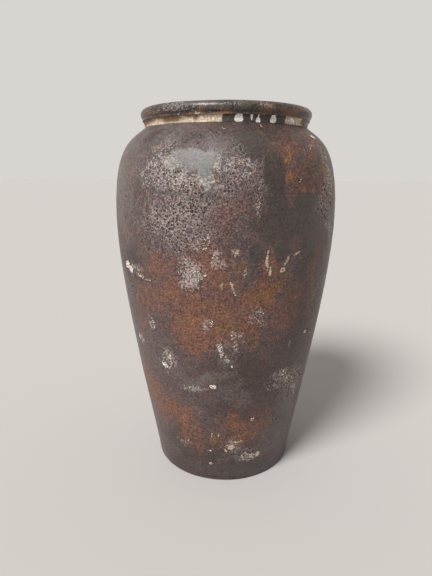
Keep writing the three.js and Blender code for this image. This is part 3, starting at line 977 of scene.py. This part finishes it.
lip_radius = NECK_RADIUS + LIP_OVERHANG
lip_half = (lip_radius - MOUTH_RADIUS) / 2
turns = np.radians(np.linspace(LIP_UNDERSIDE, 180, 120))
roll_radius = lip_radius - lip_half + lip_half * np.cos(turns)
roll_height = JAR_HEIGHT - LIP_HEIGHT / 2 + LIP_HEIGHT / 2 * np.sin(turns)
roll = np.column_stack([roll_radius, roll_height])
t = np.linspace(0, 1, 30)[:, None]
flare_bend = np.array([NECK_RADIUS, NECK_BASE + FLARE_START * NECK_HEIGHT])
flare = (1 - t) ** 2 * np.array([NECK_RADIUS, NECK_BASE]) + 2 * (1 - t) * t * flare_bend
flare = flare + t**2 * np.array([roll[0, 0], LIP_BASE])

collar_outer = trace(flare, FLARE_STEP, 1)
collar_bore = [(MOUTH_RADIUS, LIP_BASE - COLLAR_BEVEL), (MOUTH_RADIUS, NECK_BASE - NECK_ROOT)]
collar_inner = trace(collar_bore, 2.0, 1, inside=1.0)
# Buff stoneware clay, wiped before the firing, so that it shows its grog where the glaze missed it.
BUFF_CLAY = fired_skin("bare_buff_clay", BARE_CLAY, CLAY_ROUGHNESS, COLLAR_COATS + (SLIP_COAT,))
fired_piece(
    "fired_neck_collar",
    [collar_outer, collar_inner, collar_outer[:1]],
    COLLAR_MARKS,
    BUFF_CLAY,
    "neck_collar",
    "buff_clay",
    glaze_thickness=0.15,
)


# ------------------------------------------------------------------------------------------------------
# The lip: a thick coil rolled outwards over the collar and wiped round with a wet cloth, so that the
# glaze lies thick, smooth and dark on it, with rust and a few salt-white pits where hands have worn it.
# The rust along its underside is partly painted shade, and the paler sheen on its top a painted highlight.

LIP_STEP = 0.6
LIP_PIT_DEPTH = 0.35
LIP_ROUGHNESS = 0.30
LIP_MARKS = {
    "rust": (0.8, 2, 0.3, (
        (46, 343, 20, 4, 0, 0.65),
        (26, 347, 9, 4, 0, 0.6),
        # The next two marks, along the underside at about 340 mm, are partly painted shade under the roll.
        (-14, 340.0, 26, 1.5, 0, 0.75),
        (-52, 340.6, 24, 2.0, 0, 0.6),
        (130, 345, 40, 5, 0, 0.7),
        (-160, 348, 40, 5, 0, 0.6),
    )),
    "ochre": (0.8, 2, 0.3, (
        (38, 343, 3, 2.5, 0, 0.6),
        # partly painted shade along the underside
        (-8, 340.2, 14, 1.3, 0, 0.85),
        (56, 342, 8, 3, 0, 0.7),
        (140, 345, 14, 4, 0, 0.7),
    )),
    "grey": (0.8, 2, 0.8, (
        (10, 346, 14, 5, 0, 0.5),
        (-100, 348, 30, 6, 0, 0.7),
        (90, 349, 30, 5, 0, 0.6),
    )),
    "bloom_and_glints": (0.8, 2, 0.4, (
        (-28, 346, 12, 3, 0, 0.28),
        (-19, 343.4, 2, 1.6, 0, 0.9),
        (22, 346, 5, 3, 0, 0.4),
        (-44, 344, 8, 2, 0, 0.2),
        (60, 345, 6, 4, 0, 0.35),
        (-130, 348, 14, 5, 0, 0.6),
        (170, 349, 14, 4, 0, 0.6),
    )),
    "pitting": (0.8, 2, 0.8, (
        (-32, 345, 20, 5, 0, 0.9),
        (24, 346, 10, 5, 0, 0.7),
        (56, 344, 12, 5, 0, 0.6),
        (-52, 346, 26, 8, 0, 0.32),
        (152, 346, 450, 12, 0, 0.32),
    )),
    # Smoother glaze where the lamp's highlight falls on the lip's top. Its paler colour is a painted
    # highlight.
    "sheen": (0.6, 2, 0.3, (
        (-10, 347.6, 15, 3.0, 0, 1.0),
        (14, 346.5, 10, 3.0, 0, 0.7),
        (120, 348, 20, 3.0, 0, 0.8),
    )),
}
LIP_GLAZE = ("#2a2320", "#4f443f")
# smooth glaze, with a paler colour that is a painted highlight
LIP_SHEEN = ("sheen", "#3d3733", "#675e58", (0.10, 0.20, 0.10), 0.34, 0.9, 0.34, 0.85, 0.03)

lip_outer = trace(np.vstack([flare[-1:], roll]), LIP_STEP, 1)
lip_inner = trace([tuple(roll[-1]), (MOUTH_RADIUS, LIP_BASE - COLLAR_BEVEL)], 1.0, 1)
# The same iron glaze, thick enough to have melted to a satin dark skin.
LIP_SKIN = fired_skin("satin_iron_glaze", LIP_GLAZE, LIP_ROUGHNESS, GLAZE_COATS + (LIP_SHEEN,))
fired_piece(
    "fired_rolled_lip",
    [lip_outer, lip_inner, lip_outer[:1]],
    LIP_MARKS,
    LIP_SKIN,
    "rolled_lip",
    "dark_glaze",
    pit_depth=LIP_PIT_DEPTH,
)


# ------------------------------------------------------------------------------------------------------
# Lime scale: hard white crumbs that damp left on the glaze, in craters, streaks and lone spots. Each crumb
# is a small flattened lump, and they crowd together where the water stood.

CRUMB_FLATNESS = 0.45
CRUMB_SHAKE = 0.7
CRUMB_SEED = 41
SCALE_GREY, SCALE_WHITE = "#a8937f", "#efe8df"
CRUSTS = (  # angle, height, half width, half height, tilt, how hollow, number of crumbs, their size in mm
    (-57.5, 214, 5.0, 2.8, 25, 0.0, 60, 1.9),
    (-54, 211, 3.2, 3.0, -20, 0.0, 40, 1.6),
    (-45, 207.2, 10, 1.4, -12, 0.0, 28, 0.8),
    (-39, 205.4, 4, 0.9, 0, 0.0, 12, 0.8),
    (-13, 214, 5.0, 5.4, 0, 0.5, 46, 0.9),
    (-18, 219, 7.0, 7.0, 0, 0.3, 40, 0.8),
    (-8.6, 215, 0.9, 1.6, 0, 0.0, 6, 1.2),
    (-41.5, 165, 3.4, 7.0, 20, 0.8, 40, 0.8),
    (-33.5, 131, 5.2, 9.0, 0, 0.8, 60, 0.8),
    (-35.5, 125, 3.4, 2.6, -30, 0.0, 44, 1.2),
    (-31, 134, 1.2, 4.0, 0, 0.0, 18, 1.0),
    (-6, 173, 1.4, 3.6, 0, 0.0, 24, 0.8),
    (-1.5, 148, 2.0, 7.4, 8, 0.0, 70, 0.9),
    (1.5, 139, 2.2, 3.4, 30, 0.0, 24, 0.8),
    (4.5, 163, 2.6, 4.6, 0, 0.0, 34, 0.8),
    (6, 152, 2.2, 5.0, 0, 0.2, 30, 0.7),
    (4.4, 131.8, 1.1, 1.2, 0, 0.0, 8, 1.2),
    (-6, 110.5, 2.8, 2.0, -10, 0.0, 34, 1.3),
    (-16, 107, 8.0, 3.0, 0, 0.0, 16, 0.7),
    (17, 180, 5.0, 4.0, 0, 0.0, 26, 0.7),
    (-7.6, 56, 0.7, 3.0, 0, 0.0, 12, 0.8),
    (-3, 56, 0.7, 2.0, 0, 0.0, 8, 0.8),
    (19, 73, 1.2, 2.4, -20, 0.0, 14, 0.8),
    (-10, 37, 2.4, 0.7, 0, 0.0, 10, 0.8),
    (-9, 21, 2.0, 1.4, 0, 0.0, 12, 0.8),
    (2, 38, 1.4, 1.6, 30, 0.0, 16, 0.9),
    (16, 30, 3.2, 4.0, 0, 0.3, 30, 0.8),
    (22, 28, 2.2, 2.2, 0, 0.0, 20, 0.9),
    (27, 28, 2.0, 2.8, -25, 0.0, 26, 1.0),
    (51, 153, 2.2, 1.2, -10, 0.0, 14, 1.1),
    (58, 149, 3.0, 1.0, -20, 0.0, 12, 0.7),
    (38, 146, 1.4, 3.4, 0, 0.4, 14, 0.7),
    (37, 118, 5.0, 3.0, -30, 0.0, 40, 0.7),
    (44, 107, 8.0, 4.0, -35, 0.0, 70, 0.7),
    (50, 97, 7.0, 3.0, -35, 0.0, 50, 0.8),
    (-58, 143, 2.2, 3.6, 0, 0.0, 24, 0.8),
    (-8, 242, 3.0, 7.0, -20, 0.0, 46, 0.8),
    (-4, 231, 2.4, 5.0, -20, 0.0, 26, 0.8),
    (14, 268, 2.0, 11.0, 0, 0.0, 26, 0.6),
    (-3, 301, 2.0, 7.0, 0, 0.5, 40, 0.7),
    (-28, 297, 10, 12, 0, 0.0, 90, 0.6),
    (-18, 288, 20, 6, 0, 0.0, 90, 0.6),
    (57, 324, 3.2, 1.2, -10, 0.0, 22, 1.2),
    (60, 290, 6.0, 22, 0, 0.0, 60, 0.7),
    (-28, 43, 6.0, 4.0, 0, 0.0, 10, 0.7),
    (130, 150, 10, 8.0, 0, 0.4, 70, 0.9),
    (-140, 150, 7.0, 9.0, 0, 0.6, 70, 0.9),
    (160, 240, 5.0, 4.0, 0, 0.0, 40, 1.1),
    (-100, 60, 12, 3.0, 0, 0.0, 50, 0.8),
)


def crumb_points():
    """The crumbs' places on the jar's outside as a mesh of points, with their outward ways and sizes."""
    draw = np.random.default_rng(CRUMB_SEED)
    lean = np.arctan2(np.gradient(OUTSIDE[:, 0]), np.gradient(OUTSIDE[:, 1]))
    places, outs, sizes = [], [], []
    for at, height, wide, tall, tilt, hollow, count, size in CRUSTS:
        round_way = draw.uniform(0, math.tau, count)
        far = np.sqrt(draw.uniform(hollow**2, 1, count))
        c, s = math.cos(math.radians(tilt)), math.sin(math.radians(tilt))
        across, up = wide * far * np.cos(round_way), tall * far * np.sin(round_way)
        across, up = across * c - up * s, across * s + up * c
        z = height + up
        radius = np.interp(z, OUTSIDE[:, 1], OUTSIDE[:, 0])
        tip = np.interp(z, OUTSIDE[:, 1], lean)
        angle = math.radians(at) + across / radius
        places.append(np.column_stack([radius * np.sin(angle), -radius * np.cos(angle), z]))
        level = np.cos(tip)
        outs.append(np.column_stack([level * np.sin(angle), -level * np.cos(angle), -np.sin(tip)]))
        sizes.append(size * draw.uniform(0.5, 1.0, count))
    mesh = bpy.data.meshes.new("crumb_points")
    mesh.from_pydata((np.vstack(places) * MM).tolist(), [], [])
    mesh.attributes.new("out", "FLOAT_VECTOR", "POINT").data.foreach_set("vector", np.vstack(outs).ravel())
    mesh.attributes.new("size", "FLOAT", "POINT").data.foreach_set("value", np.concatenate(sizes))
    return mesh


def crumb_tree():
    """Sets a flattened, uneven crumb on every point, turned to lie on the wall."""
    inputs = (
        ("Points", "Geometry", None),
        ("Flatness", "Float", CRUMB_FLATNESS),
        ("Shake", "Float", CRUMB_SHAKE),
        ("Material", "Material", None),
    )
    tree, given, ids = geometry_tree("lime_crumbs", inputs)
    lump = add(
        tree, "GeometryNodeMeshUVSphere", {"Segments": 8, "Rings": 5, "Radius": 0.5 * MM}
    ).outputs["Mesh"]
    out = named(tree, "out", "FLOAT_VECTOR")
    size = named(tree, "size")
    laid = add(tree, "FunctionNodeAlignRotationToVector", {"Vector": out}, axis="Z").outputs[0]
    spin = {"Min": (0, 0, 0), "Max": (0.4, 0.4, math.tau), "Seed": 7}
    spin = add(tree, "FunctionNodeRandomValue", spin, data_type="FLOAT_VECTOR").outputs[0]
    laid = add(tree, "FunctionNodeRotateRotation", {0: laid, 1: spin}, rotation_space="LOCAL").outputs[0]
    squat = calc(tree, "MULTIPLY", size, given["Flatness"])
    stretch = add(
        tree, "FunctionNodeRandomValue", {2: 0.8, 3: 1.5, "Seed": 11}, data_type="FLOAT"
    ).outputs[1]
    long = calc(tree, "MULTIPLY", size, stretch)
    scale = add(tree, "ShaderNodeCombineXYZ", {0: long, 1: size, 2: squat}).outputs[0]
    placed = {"Points": given["Points"], "Instance": lump, "Rotation": laid, "Scale": scale}
    placed = add(tree, "GeometryNodeInstanceOnPoints", placed).outputs[0]
    real = add(tree, "GeometryNodeRealizeInstances", {"Geometry": placed}).outputs[0]
    position = add(tree, "GeometryNodeInputPosition").outputs[0]
    shake = texture_noise(tree, position, 1500.0, 0.0, output="Color")
    shake = vector_calc(tree, "SUBTRACT", shake, (0.5, 0.5, 0.5))
    amount = calc(tree, "MULTIPLY", given["Shake"], MM)
    shake = vector_calc(tree, "SCALE", shake, amount)
    uneven = add(tree, "GeometryNodeSetPosition", {"Geometry": real, "Offset": shake}).outputs[0]
    dressed = add(
        tree, "GeometryNodeSetMaterial", {"Geometry": uneven, "Material": given["Material"]}
    ).outputs[0]
    add(tree, "NodeGroupOutput", {0: dressed})
    return tree, ids


# Calcium carbonate, dried from hard water: chalky, dull and slightly creamy.
lime_scale = bpy.data.materials.new("lime_scale")
lime_scale.use_nodes = True
lime = lime_scale.node_tree
lime.nodes.clear()
lime_place = add(lime, "ShaderNodeTexCoord").outputs["Object"]
lime_grain = texture_noise(lime, lime_place, 700.0, 3.0)
share = remap(lime, lime_grain, 0.35, 0.65)
lime_colour = mix(lime, share, linear(SCALE_GREY), linear(SCALE_WHITE))
lime_bump = add(
    lime, "ShaderNodeBump", {"Height": lime_grain, "Distance": 0.2 * MM, "Strength": 1.0}
).outputs[0]
lime_skin = {"Base Color": lime_colour, "Roughness": 0.85, "Normal": lime_bump}
lime_skin = add(lime, "ShaderNodeBsdfPrincipled", lime_skin).outputs[0]
add(lime, "ShaderNodeOutputMaterial", {0: lime_skin})

CRUMBS, CRUMB_INPUTS = crumb_tree()
crust_mesh = with_modifier(crumb_points(), "lime_crusts", CRUMBS, {CRUMB_INPUTS["Material"]: lime_scale})
crusts = new_object("lime_crusts", crust_mesh)
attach(crusts, "root")
